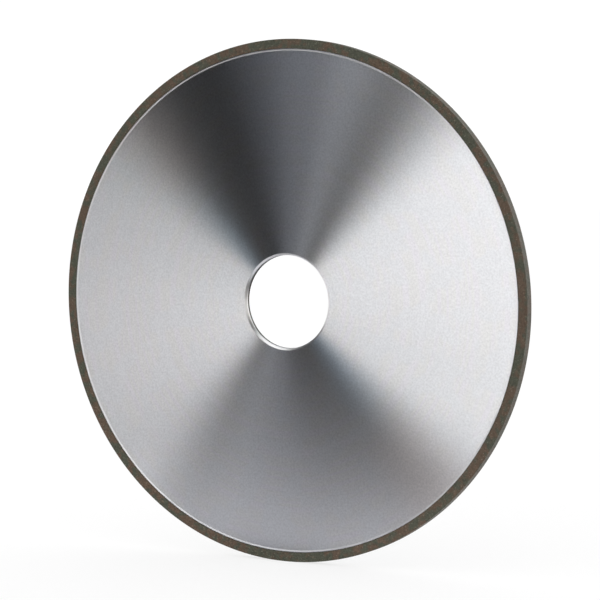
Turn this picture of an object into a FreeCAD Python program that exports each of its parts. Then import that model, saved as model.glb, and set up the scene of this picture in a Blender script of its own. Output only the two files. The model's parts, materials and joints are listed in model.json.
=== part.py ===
import FreeCAD, Part
import Sketcher
import os

# Straight diamond grinding wheel, 7 x 1/8 x 1-1/4 inch, in millimetres.
#
# A turned aluminium core carries a resin-bonded diamond ring, which a thin layer of epoxy holds on
# the core's seat. The wheel stands upright: +Y is its spin axis, +Z is up, and the origin is the
# centre of the bore, half-way through the thickness. The front is the -Y side.
#
# All three pieces are turned shapes. Each section is drawn in the XY plane, where X is the radius
# and Y runs along the spin axis, and is revolved about Y.

SIZES = {
    "wheel_dia": 177.8,  # 7 inch
    "wheel_width": 3.175,  # 1/8 inch, over the diamond ring
    "ring_depth": 3.175,  # 1/8 inch of usable abrasive
    "bond_film": 0.2,  # epoxy between the ring and its seat
    "bore_dia": 31.75,  # 1-1/4 inch
    "bore_chamfer": 0.65,  # 45 degrees, both sides
    "face_relief": 0.15,  # the core's faces lie this far below the ring's sides
    "lip_width": 0.2,  # flat lip of the core beside the ring, flush with its sides
    "bevel_width": 0.35,  # bevel from the lip down to the relieved face
    "groove_offset": 0.75,  # keying groove's middle, from the wheel's middle plane
    "groove_width": 0.5,
    "groove_depth": 0.3,
}

HALF_WIDTH = "Sizes.wheel_width / 2"
HALF_CORE = "(Sizes.wheel_width / 2 - Sizes.face_relief)"
WHEEL_RADIUS = "Sizes.wheel_dia / 2"
RING_RADIUS = "(Sizes.wheel_dia / 2 - Sizes.ring_depth)"
CORE_RADIUS = f"({RING_RADIUS} - Sizes.bond_film)"
BORE_RADIUS = "Sizes.bore_dia / 2"
GROOVE_INNER = "(Sizes.groove_offset - Sizes.groove_width / 2)"
GROOVE_OUTER = "(Sizes.groove_offset + Sizes.groove_width / 2)"

ORIGIN_POINT = (-1, 1)
START = 1


def add_sizes(doc):
    """The spreadsheet of driving dimensions: a name and a number in each row."""
    sheet = doc.addObject("Spreadsheet::Sheet", "Sizes")
    for row, (alias, value) in enumerate(SIZES.items(), start=1):
        sheet.set(f"A{row}", alias)
        sheet.set(f"B{row}", str(value))
        sheet.setAlias(f"B{row}", alias)
    doc.recompute()
    return sheet


def add_body(doc, label):
    """An empty body at the wheel's own origin."""
    body = doc.addObject("PartDesign::Body", label)
    body.Label = label
    body.Placement = FreeCAD.Placement()
    return body


def origin_plane(body, role):
    """The body's own origin plane with that role."""
    return next(part for part in body.Origin.OriginFeatures if part.Role == role)


def add_section(body, name, corners):
    """A closed polygon in the XY plane. A corner is (radius, distance from the middle plane, side),
    the first two as expressions of the sheet, and side +1 or -1 along the spin axis."""
    sketch = body.newObject("Sketcher::SketchObject", name)
    sketch.AttachmentSupport = (origin_plane(body, "XY_Plane"), [""])
    sketch.MapMode = "FlatFace"
    sheet = body.Document.Sizes
    points = []
    for radius, distance, side in corners:
        across = float(sheet.evalExpression(radius))
        along = side * float(sheet.evalExpression(distance))
        points.append(FreeCAD.Vector(across, along, 0))
    for index, point in enumerate(points):
        following = points[(index + 1) % len(points)]
        sketch.addGeometry(Part.LineSegment(point, following), False)
    for index in range(len(points)):
        sketch.addConstraint(
            Sketcher.Constraint("Coincident", index, 2, (index + 1) % len(points), START)
        )
    for index, (radius, distance, side) in enumerate(corners):
        bind(sketch, "DistanceX", ORIGIN_POINT, (index, START), f"radius_{index}", radius)
        ends = (ORIGIN_POINT, (index, START))
        low, high = ends if side > 0 else reversed(ends)
        bind(sketch, "DistanceY", low, high, f"side_{index}", distance)
    return sketch


def bind(sketch, kind, low, high, name, expression):
    """A named distance from one point up to another, driven by an expression of the sheet."""
    value = float(sketch.Document.Sizes.evalExpression(expression))
    number = sketch.addConstraint(Sketcher.Constraint(kind, *low, *high, value))
    sketch.renameConstraint(number, name)
    sketch.setExpression(f"Constraints.{name}", expression)


def symmetric(half_section):
    """The corners of a section that is the same on both sides of the middle plane, in order."""
    front = [(radius, distance, -1) for radius, distance in half_section]
    back = [(radius, distance, 1) for radius, distance in reversed(half_section)]
    return front + back


def groove_corners():
    """The section of the +Y keying groove, carried on across the cement to the ring."""
    bottom = f"({CORE_RADIUS} - Sizes.groove_depth)"
    return [
        (bottom, GROOVE_INNER, 1),
        (RING_RADIUS, GROOVE_INNER, 1),
        (RING_RADIUS, GROOVE_OUTER, 1),
        (bottom, GROOVE_OUTER, 1),
    ]


def turn(body, kind, name, sketch):
    """Revolve a section about the spin axis, to add material or to cut it."""
    feature = body.newObject(kind, name)
    feature.Profile = sketch
    feature.ReferenceAxis = (sketch, ["V_Axis"])
    feature.Angle = 360
    body.Tip = feature
    return feature


def mirror_to_front(body, name, feature):
    """Repeat a +Y feature on the -Y side of the middle plane."""
    mirrored = body.newObject("PartDesign::Mirrored", name)
    mirrored.Originals = [feature]
    mirrored.MirrorPlane = (origin_plane(body, "XZ_Plane"), [""])
    body.Tip = mirrored
    return mirrored


def bore_edges(shape, radius):
    """Names of the circular edges where the bore meets the faces."""
    return [
        f"Edge{number}"
        for number, edge in enumerate(shape.Edges, start=1)
        if isinstance(edge.Curve, Part.Circle) and abs(edge.Curve.Radius - radius) < 1e-6
    ]


def add_core(doc):
    """The aluminium core: a relieved disc with a bevel and a lip beside the ring."""
    body = add_body(doc, "core")
    lip_start = f"({CORE_RADIUS} - Sizes.lip_width)"
    bevel_foot = f"({lip_start} - Sizes.bevel_width)"
    half_section = [
        (BORE_RADIUS, HALF_CORE),
        (bevel_foot, HALF_CORE),
        (lip_start, HALF_WIDTH),
        (CORE_RADIUS, HALF_WIDTH),
    ]
    section = add_section(body, "core_section", symmetric(half_section))
    disc = turn(body, "PartDesign::Revolution", "core_disc", section)
    groove_section = add_section(body, "core_groove_section", groove_corners())
    groove = turn(body, "PartDesign::Groove", "core_groove", groove_section)
    grooves = mirror_to_front(body, "core_grooves", groove)
    doc.recompute()
    chamfer = body.newObject("PartDesign::Chamfer", "core_bore_chamfer")
    radius = float(doc.Sizes.evalExpression(BORE_RADIUS))
    chamfer.Base = (grooves, bore_edges(grooves.Shape, radius))
    chamfer.setExpression("Size", "Sizes.bore_chamfer")
    body.Tip = chamfer
    doc.recompute()
    check_cuts([disc, groove, grooves, chamfer])
    return body


def add_diamond_rim(doc):
    """The resin-bonded diamond ring: a plain square-cornered section."""
    body = add_body(doc, "diamond_rim")
    half_section = [(RING_RADIUS, HALF_WIDTH), (WHEEL_RADIUS, HALF_WIDTH)]
    section = add_section(body, "ring_section", symmetric(half_section))
    turn(body, "PartDesign::Revolution", "ring", section)
    return body


def add_bond_line(doc):
    """The epoxy: a thin sleeve on the core's seat, with a rib in each keying groove."""
    body = add_body(doc, "bond_line")
    half_section = [(CORE_RADIUS, HALF_WIDTH), (RING_RADIUS, HALF_WIDTH)]
    section = add_section(body, "film_section", symmetric(half_section))
    turn(body, "PartDesign::Revolution", "film", section)
    rib_section = add_section(body, "film_rib_section", groove_corners())
    rib = turn(body, "PartDesign::Revolution", "film_rib", rib_section)
    mirror_to_front(body, "film_ribs", rib)
    return body


def check_cuts(features):
    """Stop if a feature that should remove material left the volume as it was."""
    for before, after in zip(features, features[1:]):
        if not after.Shape.Volume < before.Shape.Volume:
            raise RuntimeError(f"{after.Label} cut nothing")


def check(doc, bodies):
    """Stop if anything failed to build, and print what each piece came to."""
    for item in doc.Objects:
        if {"Invalid", "Error"} & set(item.State):
            raise RuntimeError(f"{item.Label} failed to build: {item.State}")
    for body in bodies:
        shape = body.Shape
        if shape.isNull() or not shape.isValid() or len(shape.Solids) != 1:
            raise RuntimeError(f"{body.Label} is not one valid solid")
        box = shape.BoundBox
        size = f"{box.XLength:.3f} x {box.YLength:.3f} x {box.ZLength:.3f} mm"
        print(f"{body.Label}: {size}, {shape.Volume:.1f} mm3")


document = FreeCAD.newDocument("grinding_wheel")
add_sizes(document)
pieces = [add_core(document), add_diamond_rim(document), add_bond_line(document)]
document.recompute()
check(document, pieces)
os.makedirs("parts", exist_ok=True)
for piece in pieces:
    piece.Shape.exportStep(f"parts/{piece.Label}.step")
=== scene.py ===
import json
import math

import bpy
from mathutils import Euler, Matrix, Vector


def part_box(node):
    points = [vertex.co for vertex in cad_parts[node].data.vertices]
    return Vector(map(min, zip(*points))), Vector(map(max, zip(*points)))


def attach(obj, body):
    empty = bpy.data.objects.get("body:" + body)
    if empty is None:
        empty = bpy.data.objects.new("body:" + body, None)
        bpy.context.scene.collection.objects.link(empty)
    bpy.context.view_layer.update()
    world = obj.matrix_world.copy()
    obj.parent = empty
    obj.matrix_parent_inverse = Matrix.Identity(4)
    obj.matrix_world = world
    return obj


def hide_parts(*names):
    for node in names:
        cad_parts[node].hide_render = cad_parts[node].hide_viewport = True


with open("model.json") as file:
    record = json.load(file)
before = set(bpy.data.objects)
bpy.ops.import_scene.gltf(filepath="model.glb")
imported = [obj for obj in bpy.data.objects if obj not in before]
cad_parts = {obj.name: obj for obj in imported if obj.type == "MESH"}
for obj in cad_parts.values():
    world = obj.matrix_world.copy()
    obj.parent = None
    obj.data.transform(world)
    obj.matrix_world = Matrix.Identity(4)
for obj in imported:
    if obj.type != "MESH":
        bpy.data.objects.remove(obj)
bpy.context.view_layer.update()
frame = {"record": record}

# A straight diamond grinding wheel, standing upright: a turned aluminium core, a resin-bonded
# diamond ring and the thin line of epoxy between them. Metres, in the CAD model's own frame: +Y is
# the spin axis, +Z is up, the origin is the centre of the bore, and the front is the -Y side.

MM = 0.001

# ---- Sizes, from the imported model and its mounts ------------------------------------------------

mounts = {mount["name"]: mount for mount in frame["record"]["mounts"]}
WHEEL_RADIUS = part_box("diamond_rim")[1][0]
HALF_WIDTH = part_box("diamond_rim")[1][1]
RING_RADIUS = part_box("bond_line")[1][0]
CORE_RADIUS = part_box("core")[1][0]
HALF_CORE = mounts["rear_face"]["pos_m"][1]
BORE_RADIUS = mounts["bore"]["dims"]["r_mm"] * MM
HALF_BORE_WALL = mounts["bore"]["dims"]["length_mm"] * MM / 2
BORE_CHAMFER = HALF_CORE - HALF_BORE_WALL
FLOOR_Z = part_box("diamond_rim")[0][2]

LIP_WIDTH = 0.2 * MM
BEVEL_WIDTH = 0.35 * MM
BEVEL_FOOT = CORE_RADIUS - LIP_WIDTH - BEVEL_WIDTH
FACE_EDGE = BEVEL_FOOT - 0.02 * MM  # the bevel's foot is rounded, and its arc starts about here
GROOVE_INNER = 0.5 * MM
GROOVE_OUTER = 1.0 * MM
GROOVE_DEPTH = 0.3 * MM
CEMENT_SINK = 0.03 * MM  # the cement's edge lies this far below the ring's side

FINE_SEGMENTS = 1024  # round the ring
SEGMENTS = 512  # round the core and the cement
LONGEST_RUN = 3 * MM  # between two points of the core's and the cement's outline
LONGEST_RING_RUN = 0.4 * MM
TURNED, MACHINED = 0, 1  # the core's two materials


# ---- Turned shapes ------------------------------------------------------------------------------

def symmetric(half_section):
    """A closed section, the same on both sides of the middle plane, from its +Y half."""
    front = [(radius, -along, rounding) for radius, along, rounding in half_section]
    return front + list(reversed(half_section))


def rounded(corners, steps=3):
    """The closed outline through corners (radius, along, rounding), each rounded off by an arc."""
    outline = []
    count = len(corners)
    for index, (radius, along, rounding) in enumerate(corners):
        corner = Vector((radius, along))
        if rounding == 0:
            outline.append(corner)
            continue
        before = (Vector(corners[index - 1][:2]) - corner).normalized()
        after = (Vector(corners[(index + 1) % count][:2]) - corner).normalized()
        half_angle = before.angle(after) / 2
        setback = rounding / math.tan(half_angle)
        centre = corner + (before + after).normalized() * rounding / math.sin(half_angle)
        first = corner + before * setback - centre
        last = corner + after * setback - centre
        sweep = first.angle_signed(last)
        for step in range(steps + 1):
            turn = sweep * step / steps
            arm = Vector((
                first.x * math.cos(turn) + first.y * math.sin(turn),
                first.y * math.cos(turn) - first.x * math.sin(turn),
            ))
            outline.append(centre + arm)
    return outline


def divided(outline, longest):
    """The outline with every run cut into equal lengths no longer than longest."""
    points = []
    for index, start in enumerate(outline):
        end = outline[(index + 1) % len(outline)]
        pieces = max(1, math.ceil((end - start).length / longest))
        points += [start.lerp(end, piece / pieces) for piece in range(pieces)]
    return points


def turned(name, outline, segments):
    """A mesh object: the closed outline of (radius, along) points, revolved about +Y."""
    vertices = []
    for segment in range(segments):
        angle = 2 * math.pi * segment / segments
        across, up = math.cos(angle), math.sin(angle)
        vertices += [(point.x * across, point.y, point.x * up) for point in outline]
    count = len(outline)
    faces = []
    for segment in range(segments):
        here = segment * count
        there = (segment + 1) % segments * count
        for index in range(count):
            following = (index + 1) % count
            faces.append((here + index, here + following, there + following, there + index))
    mesh = bpy.data.meshes.new(name)
    mesh.from_pydata(vertices, [], faces)
    mesh.update()
    piece = bpy.data.objects.new(name, mesh)
    bpy.context.scene.collection.objects.link(piece)
    mesh.shade_smooth()
    weighted = piece.modifiers.new("flat_faces_stay_flat", "WEIGHTED_NORMAL")
    weighted.mode = "FACE_AREA"
    return piece


# ---- Pieces -------------------------------------------------------------------------------------

wheel = bpy.data.collections.new("wheel")


def install(piece, node, materials):
    """Let a finished piece stand for its CAD node, with one or more materials."""
    for material in materials:
        piece.data.materials.append(material)
    wheel.objects.link(piece)
    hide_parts(node)
    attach(piece, "root")


def core_piece():
    """The core: its faces and lips are lathe-turned, and its other surfaces cut at one pass."""
    half_section = [
        (BORE_RADIUS, HALF_BORE_WALL, 0.04 * MM),
        (BORE_RADIUS + BORE_CHAMFER, HALF_CORE, 0.04 * MM),
        (BEVEL_FOOT, HALF_CORE, 0.1 * MM),
        (CORE_RADIUS - LIP_WIDTH, HALF_WIDTH, 0.03 * MM),
        (CORE_RADIUS, HALF_WIDTH, 0.02 * MM),
        (CORE_RADIUS, GROOVE_OUTER, 0),
        (CORE_RADIUS - GROOVE_DEPTH, GROOVE_OUTER, 0),
        (CORE_RADIUS - GROOVE_DEPTH, GROOVE_INNER, 0),
        (CORE_RADIUS, GROOVE_INNER, 0),
    ]
    outline = divided(rounded(symmetric(half_section)), LONGEST_RUN)
    piece = turned("core_turned", outline, SEGMENTS)
    for face in piece.data.polygons:
        radius = math.hypot(face.center.x, face.center.z)
        on_face = BORE_RADIUS + BORE_CHAMFER < radius < FACE_EDGE
        on_lip = abs(face.normal.y) > 0.99 and radius > CORE_RADIUS - LIP_WIDTH
        face.material_index = TURNED if on_face or on_lip else MACHINED
    return piece


def ring_piece():
    """The diamond ring: square-cornered, with its outer corners slightly worn."""
    half_section = [
        (RING_RADIUS, HALF_WIDTH, 0.03 * MM),
        (WHEEL_RADIUS, HALF_WIDTH, 0.08 * MM),
    ]
    outline = divided(rounded(symmetric(half_section)), LONGEST_RING_RUN)
    return turned("diamond_ring", outline, FINE_SEGMENTS)


def bond_piece():
    """The cement: a thin sleeve with a rib in each of the core's keying grooves."""
    half_section = [
        (CORE_RADIUS, GROOVE_INNER, 0),
        (CORE_RADIUS - GROOVE_DEPTH, GROOVE_INNER, 0),
        (CORE_RADIUS - GROOVE_DEPTH, GROOVE_OUTER, 0),
        (CORE_RADIUS, GROOVE_OUTER, 0),
        (CORE_RADIUS, HALF_WIDTH - CEMENT_SINK, 0),
        (RING_RADIUS, HALF_WIDTH - CEMENT_SINK, 0),
    ]
    outline = divided(rounded(symmetric(half_section)), LONGEST_RUN)
    return turned("bond_epoxy_line", outline, SEGMENTS)


# ---- Materials ----------------------------------------------------------------------------------

FRINGE_ANGLE = math.radians(132)  # from +X towards +Z: the painted reflection fringe lies along this line through the axis
FRINGE_NORMAL = (-math.sin(FRINGE_ANGLE), 0, math.cos(FRINGE_ANGLE))
FRINGE_SPREAD = 0.28  # sine of the angle at which the painted reflection fringe has faded away, on either side of the line


class Recipe:
    """The nodes of one procedural material."""

    def __init__(self, name):
        self.material = bpy.data.materials.new(name)
        self.material.use_nodes = True
        self.nodes = self.material.node_tree.nodes
        self.links = self.material.node_tree.links
        self.shader = self.nodes["Principled BSDF"].inputs

    def node(self, kind, **settings):
        """A new shader node with the given settings."""
        node = self.nodes.new(f"ShaderNode{kind}")
        for setting, value in settings.items():
            setattr(node, setting, value)
        return node

    def feed(self, socket, value):
        """Link a socket to another node's output, or set it to a constant."""
        if isinstance(value, bpy.types.NodeSocket):
            self.links.new(value, socket)
        else:
            socket.default_value = value

    def math(self, operation, first, second=0.0):
        """The result of an operation on one or two numbers."""
        node = self.node("Math", operation=operation)
        self.feed(node.inputs[0], first)
        self.feed(node.inputs[1], second)
        return node.outputs[0]

    def product(self, *values):
        """The values multiplied together."""
        result = values[0]
        for value in values[1:]:
            result = self.math("MULTIPLY", result, value)
        return result

    def total(self, base, *terms):
        """base plus each term's value, measured from its middle of 0.5, times its gain."""
        for value, gain in terms:
            swing = self.product(self.math("SUBTRACT", value, 0.5), gain)
            base = self.math("ADD", swing, base)
        return base

    def vector(self, operation, first, second):
        """The node of an operation on two vectors; a length or dot product is its output Value."""
        node = self.node("VectorMath", operation=operation)
        self.feed(node.inputs[0], first)
        self.feed(node.inputs[1], second)
        return node

    def place(self):
        """The point's place in the shared frame, in millimetres."""
        coordinates = self.node("TexCoord").outputs["Object"]
        return self.vector("MULTIPLY", coordinates, (1 / MM, 1 / MM, 1 / MM)).outputs[0]

    def radius(self, place):
        """Distance from the spin axis, in millimetres."""
        across = self.vector("MULTIPLY", place, (1, 0, 1)).outputs[0]
        return self.vector("LENGTH", across, (0, 0, 0)).outputs["Value"]

    def along(self, place):
        """Distance along the spin axis from the middle plane, in millimetres."""
        axes = self.node("SeparateXYZ")
        self.feed(axes.inputs[0], place)
        return axes.outputs["Y"]

    def heading(self, place):
        """The unit vector outward from the spin axis."""
        across = self.vector("MULTIPLY", place, (1, 0, 1)).outputs[0]
        return self.vector("NORMALIZE", across, (0, 0, 0)).outputs[0]

    def arc_place(self, place, radius, spacing):
        """Coordinates that change fast with the radius and slowly along the turning direction."""
        spread = self.vector("MULTIPLY", self.heading(place), (8, 0, 8)).outputs[0]
        combine = self.node("CombineXYZ")
        self.feed(combine.inputs["Y"], self.math("MULTIPLY", radius, spacing))
        return self.vector("ADD", spread, combine.outputs[0]).outputs[0]

    def noise(self, place, scale, detail=2.0):
        """Cloudy noise with scale features to the millimetre; place is a point or one number."""
        along_a_line = place.type == "VALUE"
        node = self.node("TexNoise", noise_dimensions="1D" if along_a_line else "3D")
        self.feed(node.inputs["W" if along_a_line else "Vector"], place)
        self.feed(node.inputs["Scale"], scale)
        self.feed(node.inputs["Detail"], detail)
        return node.outputs[0]

    def cells(self, place, scale):
        """Random grains: distance from a grain's middle, and a random number for each grain."""
        node = self.node("TexVoronoi")
        self.feed(node.inputs["Vector"], place)
        self.feed(node.inputs["Scale"], scale)
        return node.outputs["Distance"], self.math("MULTIPLY", node.outputs["Color"], 1.0)

    def step(self, value, low, high):
        """0 below low, 1 above high and a smooth ramp between; falls if low is above high."""
        node = self.node("MapRange", interpolation_type="SMOOTHSTEP")
        self.feed(node.inputs["Value"], value)
        self.feed(node.inputs["From Min"], low)
        self.feed(node.inputs["From Max"], high)
        return node.outputs[0]

    def mix(self, factor, first, second):
        """The first colour where factor is 0, and the second where it is 1."""
        node = self.node("Mix", data_type="RGBA")
        self.feed(node.inputs[0], factor)
        self.feed(node.inputs[6], first)
        self.feed(node.inputs[7], second)
        return node.outputs[2]

    def tinted(self, colour, tone):
        """A colour times a grey tone."""
        node = self.node("Mix", data_type="RGBA", blend_type="MULTIPLY")
        grey = self.node("CombineXYZ")
        for axis in "XYZ":
            self.feed(grey.inputs[axis], tone)
        self.feed(node.inputs[0], 1.0)
        self.feed(node.inputs[6], colour)
        self.feed(node.inputs[7], grey.outputs[0])
        return node.outputs[2]

    def relief(self, *layers):
        """Bump from layers of (height, depth in millimetres), one on top of the other."""
        normal = None
        for height, depth in layers:
            bump = self.node("Bump")
            self.feed(bump.inputs["Height"], height)
            self.feed(bump.inputs["Distance"], depth * MM)
            if normal is not None:
                self.feed(bump.inputs["Normal"], normal)
            normal = bump.outputs[0]
        self.feed(self.shader["Normal"], normal)


def painted_reflection_fringe(recipe, place, radius, metal):
    """Painted reflection: colour fringes painted across the front face, bluish near the bore and
    reddish near the ring.
    """
    bluish, reddish = (0.72, 0.80, 0.88, 1), (0.84, 0.80, 0.79, 1)
    aside = recipe.vector("DOT_PRODUCT", recipe.heading(place), FRINGE_NORMAL).outputs["Value"]
    near_line = recipe.step(recipe.math("ABSOLUTE", aside), FRINGE_SPREAD, 0.0)
    in_front = recipe.step(recipe.along(place), 0.5, -0.5)
    inner = recipe.product(in_front, near_line, recipe.step(radius, 60, 28))
    outer = recipe.product(in_front, near_line, recipe.step(radius, 45, 68))
    return recipe.mix(outer, recipe.mix(inner, metal, bluish), reddish)


def turned_aluminium():
    """The core's faces and lips: fine concentric tool marks stretch every highlight across them."""
    recipe = Recipe("turned_aluminium")
    place = recipe.place()
    radius = recipe.radius(place)
    grain = recipe.noise(place, 1.5, 3)
    mottle = recipe.noise(place, 0.5)
    cloud = recipe.noise(place, 0.11)
    bands = recipe.noise(radius, 0.3, 3)
    marks = recipe.noise(radius, 12)
    streaks = recipe.noise(recipe.arc_place(place, radius, 1.8), 1.0)
    distance, number = recipe.cells(place, 0.16)
    pit = recipe.product(recipe.step(distance, 0.035, 0.02), recipe.step(number, 0.62, 0.64))

    recipe.shader["Metallic"].default_value = 1
    recipe.shader["Anisotropic"].default_value = 1
    recipe.shader["Anisotropic Rotation"].default_value = 0.25
    tangent = recipe.node("Tangent", direction_type="RADIAL", axis="Y")
    recipe.feed(recipe.shader["Tangent"], tangent.outputs[0])

    grey, mauve, blue_grey = (0.81, 0.81, 0.81, 1), (0.81, 0.80, 0.83, 1), (0.80, 0.81, 0.83, 1)
    banded = recipe.mix(recipe.step(bands, 0.45, 0.6), grey, mauve)
    clouded = recipe.mix(recipe.step(cloud, 0.42, 0.58), banded, blue_grey)
    # Painted reflection: bluish and reddish fringes, standing in for the colour at the highlights'
    # edges, painted into the metal's colour along one line through the axis.
    fringed = painted_reflection_fringe(recipe, place, radius, clouded)
    tone = recipe.total(1.0, (grain, 0.45), (bands, 0.04), (streaks, 0.05))
    recipe.feed(recipe.shader["Base Color"], recipe.tinted(fringed, tone))
    # Below a roughness of about 0.275 the denoiser smears the grain.
    rough = recipe.total(0.284, (grain, 0.02), (streaks, 0.01))
    pitted = recipe.math("MAXIMUM", rough, recipe.product(pit, 0.5))
    recipe.feed(recipe.shader["Roughness"], pitted)
    recipe.relief((marks, 0.003), (streaks, 0.003), (mottle, 0.002), (grain, 0.006), (pit, -0.01))
    return recipe.material


def machined_edge():
    """The bore, chamfers, bevels and grooves, cut at one pass. The bevels beside the ring are
    scuffed, which makes them partly matt, and the rear half of the bore's wall has painted shade: a
    dark band in its colour, rougher there too."""
    recipe = Recipe("machined_edge")
    place = recipe.place()
    radius = recipe.radius(place)
    along = recipe.along(place)
    marks = recipe.noise(recipe.math("ADD", radius, along), 9)
    grain = recipe.noise(place, 2.5, 3)
    wear = recipe.total(0.2, (recipe.noise(place, 0.25), 0.3))
    on_bevel = recipe.step(radius, 60, 61)
    scuffed = recipe.product(on_bevel, wear)
    wall = BORE_RADIUS / MM
    on_wall = recipe.step(radius, wall + 0.08, wall + 0.03)
    in_rear_half = recipe.step(recipe.total(along, (grain, 0.3)), -0.2, 0.05)
    # Painted shade: the rear half of the bore's wall is painted dark, where the wall is only in
    # shade.
    painted_shade_zone = recipe.product(on_wall, in_rear_half)

    recipe.feed(recipe.shader["Metallic"], recipe.math("SUBTRACT", 1.0, scuffed))
    bright, painted_shade_colour = (0.88, 0.88, 0.88, 1), (0.09, 0.085, 0.08, 1)
    metal = recipe.mix(painted_shade_zone, bright, painted_shade_colour)
    tone = recipe.total(1.0, (marks, 0.12), (grain, 0.12))
    recipe.feed(recipe.shader["Base Color"], recipe.tinted(metal, tone))
    smooth = recipe.total(0.36, (grain, 0.12))
    rough = recipe.math("ADD", recipe.product(painted_shade_zone, 0.35), smooth)
    recipe.feed(recipe.shader["Roughness"], rough)
    recipe.relief((marks, 0.003), (grain, 0.004))
    return recipe.material


def diamond_resin():
    """The ring: fine diamond grit in brown-to-olive resin, paler where it is trued."""
    recipe = Recipe("diamond_resin")
    place = recipe.place()
    radius = recipe.radius(place)
    cloud = recipe.noise(place, 0.22, 3)
    blotch = recipe.noise(place, 0.5)
    mottle = recipe.noise(place, 1.3, 3)
    grit_distance, grit = recipe.cells(place, 2.4)
    fine_distance, fine = recipe.cells(place, 6.5)
    fleck = recipe.product(recipe.step(grit, 0.76, 0.82), recipe.step(grit_distance, 0.5, 0.2))
    edge = WHEEL_RADIUS / MM
    trued = recipe.step(radius, edge - 0.12, edge - 0.02)

    brown, olive = (0.066, 0.046, 0.032, 1), (0.045, 0.047, 0.034, 1)
    pale_grit, pale_edge = (0.15, 0.14, 0.11, 1), (0.17, 0.165, 0.15, 1)
    resin = recipe.mix(recipe.step(recipe.total(cloud, (blotch, 0.6)), 0.4, 0.6), brown, olive)
    flecked = recipe.mix(recipe.product(fleck, 0.6), resin, pale_grit)
    worn = recipe.mix(recipe.product(trued, 0.4), flecked, pale_edge)
    tone = recipe.total(1.0, (mottle, 1.0), (grit, 0.35), (fine, 0.6))
    recipe.feed(recipe.shader["Base Color"], recipe.tinted(worn, tone))
    recipe.feed(recipe.shader["Roughness"], recipe.total(0.72, (mottle, 0.2), (fleck, -0.35)))
    recipe.shader["Specular IOR Level"].default_value = 0.2
    recipe.relief((mottle, 0.04), (grit_distance, -0.07), (fine_distance, -0.03))
    return recipe.material


def bond_epoxy():
    """The cement: dark glossy epoxy, scraped flush, with a cloudy colour."""
    recipe = Recipe("bond_epoxy")
    place = recipe.place()
    cloud = recipe.noise(place, 0.5, 3)
    smear = recipe.noise(place, 3, 3)
    dark, pale = (0.030, 0.026, 0.020, 1), (0.055, 0.046, 0.034, 1)
    epoxy = recipe.mix(recipe.step(cloud, 0.35, 0.65), dark, pale)
    recipe.feed(recipe.shader["Base Color"], recipe.tinted(epoxy, recipe.total(1.0, (smear, 0.5))))
    recipe.feed(recipe.shader["Roughness"], recipe.total(0.42, (smear, 0.3)))
    recipe.relief((smear, 0.02))
    return recipe.material


install(core_piece(), "core", [turned_aluminium(), machined_edge()])
install(ring_piece(), "diamond_rim", [diamond_resin()])
install(bond_piece(), "bond_line", [bond_epoxy()])


# ---- Floor, light and camera --------------------------------------------------------------------

CAMERA_AZIMUTH = math.radians(28.987)
CAMERA_ELEVATION = math.radians(3.813)
CAMERA_DISTANCE = 0.8325
LENS_MM = 146.9
SENSOR_MM = 36
AIM_RIGHT = 3.89 * MM
AIM_UP = 0.54 * MM
FLOOR_SIZE = 8.0


def direction(azimuth, elevation):
    """Unit vector from the wheel's centre; azimuth 0 is straight ahead of the front face."""
    flat = math.cos(elevation)
    return Vector((
        math.sin(azimuth) * flat,
        -math.cos(azimuth) * flat,
        math.sin(elevation),
    ))


def add_camera():
    """The photograph's viewpoint, to the wheel's right and a little above its centre."""
    data = bpy.data.cameras.new("camera")
    data.lens = LENS_MM
    data.sensor_width = SENSOR_MM
    camera = bpy.data.objects.new("camera", data)
    bpy.context.scene.collection.objects.link(camera)
    outward = direction(CAMERA_AZIMUTH, CAMERA_ELEVATION)
    right = Vector((0, 0, 1)).cross(outward).normalized()
    up = outward.cross(right)
    camera.location = outward * CAMERA_DISTANCE
    aim = right * AIM_RIGHT + up * AIM_UP
    camera.rotation_euler = (aim - camera.location).to_track_quat("-Z", "Y").to_euler()
    bpy.context.scene.camera = camera


def add_floor():
    """A floor that only the camera sees. Its own light keeps it as white as the surroundings."""
    half = FLOOR_SIZE / 2
    mesh = bpy.data.meshes.new("floor")
    corners = [
        (-half, -half, FLOOR_Z),
        (half, -half, FLOOR_Z),
        (half, half, FLOOR_Z),
        (-half, half, FLOOR_Z),
    ]
    mesh.from_pydata(corners, [], [(0, 1, 2, 3)])
    floor = bpy.data.objects.new("floor", mesh)
    bpy.context.scene.collection.objects.link(floor)
    recipe = Recipe("floor")
    recipe.shader["Base Color"].default_value = (0.3, 0.3, 0.3, 1)
    recipe.shader["Specular IOR Level"].default_value = 0
    recipe.shader["Emission Color"].default_value = (1, 1, 1, 1)
    recipe.shader["Emission Strength"].default_value = 0.7
    mesh.materials.append(recipe.material)
    floor.visible_diffuse = False
    floor.visible_glossy = False
    floor.visible_shadow = False


def add_light(name, place, turn, width, height, radiance):
    """A soft rectangular light that only the wheel receives and the camera doesn't see."""
    data = bpy.data.lights.new(name, "AREA")
    data.shape = "RECTANGLE"
    data.size = width
    data.size_y = height
    data.energy = 4 * width * height  # so that the colour is the panel's radiance
    data.color = radiance
    light = bpy.data.objects.new(name, data)
    bpy.context.scene.collection.objects.link(light)
    light.location = place
    light.rotation_euler = turn
    light.visible_camera = False
    light.light_linking.receiver_collection = wheel


def add_softbox(name, azimuth, elevation, distance, width, height, roll, radiance):
    """A softbox that faces the wheel's centre, and its twin behind the wheel. Angles are in
    degrees, and the roll turns the softbox about its own axis."""
    for side, bearing, lean in (("front", azimuth, roll), ("rear", 180 - azimuth, -roll)):
        place = direction(math.radians(bearing), math.radians(elevation)) * distance
        turn = (-place).to_track_quat("-Z", "Y").to_euler()
        turn.rotate_axis("Z", math.radians(lean))
        add_light(f"{name}_{side}", place, turn, width, height, radiance)


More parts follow.
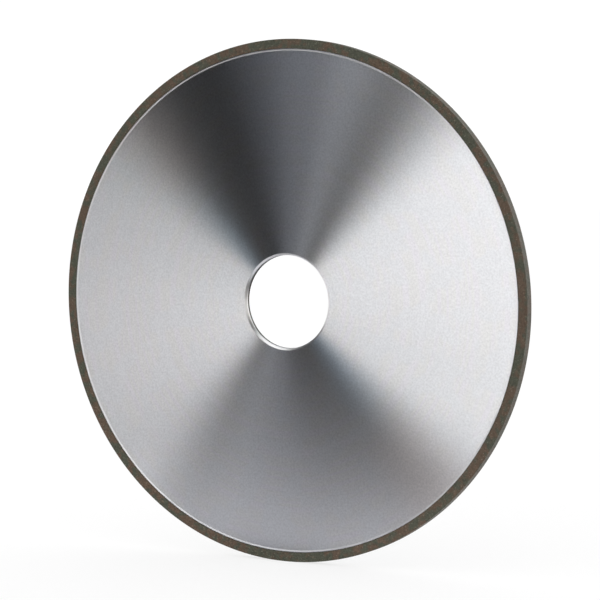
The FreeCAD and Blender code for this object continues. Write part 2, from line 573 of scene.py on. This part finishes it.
def add_floor_bounce(across, ahead, width, depth, yaw, radiance):
    """Light that the floor beside each face sends back up. The yaw is in degrees."""
    for side, sign in (("front", -1), ("rear", 1)):
        place = Vector((across, sign * ahead, FLOOR_Z - 0.5 * MM))
        turn = Euler((math.pi, 0, math.radians(-sign * yaw)))
        add_light(f"bounce_{side}", place, turn, width, depth, radiance)


def add_ceiling(height, width, depth, radiance):
    """A level panel straight above the wheel."""
    add_light("ceiling", Vector((0, 0, height)), Euler((0, 0, 0)), width, depth, radiance)


def add_backdrop(azimuth, elevation, distance, width, height, radiance):
    """A dim panel behind the wheel, which the wall of the bore reflects."""
    place = direction(math.radians(azimuth), math.radians(elevation)) * distance
    turn = (-place).to_track_quat("-Z", "Y").to_euler()
    add_light("backdrop", place, turn, width, height, radiance)


def add_world():
    """Even white light from all round for matt surfaces and the floor; metal sees the softboxes."""
    world = bpy.data.worlds.new("studio")
    world.use_nodes = True
    world.node_tree.nodes["Background"].inputs["Color"].default_value = (1, 1, 1, 1)
    world.node_tree.nodes["Background"].inputs["Strength"].default_value = 1.05
    world.cycles_visibility.glossy = False
    bpy.context.scene.world = world
    bpy.context.scene.view_settings.view_transform = "Standard"


add_camera()
add_floor()
# Name, azimuth, elevation, distance, width, height, roll and radiance. The first four were fitted to
# the bright and dark sectors that the photo shows on the turned face, and then adjusted. The
# overhead and side softboxes and the ceiling light the bevels and the bore's chamfers.
add_softbox("key", -12.5, -1, 1.1, 0.17, 0.59, -4, (5.0, 5.0, 5.0))
add_softbox("left", -77, -10, 1.2, 0.74, 0.89, 21, (0.73, 0.67, 0.72))
add_softbox("right", 41, 4, 1.2, 0.74, 0.90, -5, (0.80, 0.77, 0.74))
add_softbox("top", -28, 34, 1.0, 0.41, 0.39, -16, (0.53, 0.56, 0.64))
add_softbox("overhead", -8, 45, 1.0, 0.45, 0.35, 0, (1.1, 1.1, 1.1))
add_softbox("side", 68, 8, 1.2, 0.36, 0.6, 0, (0.8, 0.8, 0.8))
add_ceiling(0.9, 1.1, 1.0, (1.1, 1.1, 1.1))
add_backdrop(168, 14, 1.2, 1.0, 0.8, (0.7, 0.7, 0.7))
add_floor_bounce(-0.02, 0.053, 0.24, 0.08, 6, (0.62, 0.62, 0.65))
add_world()
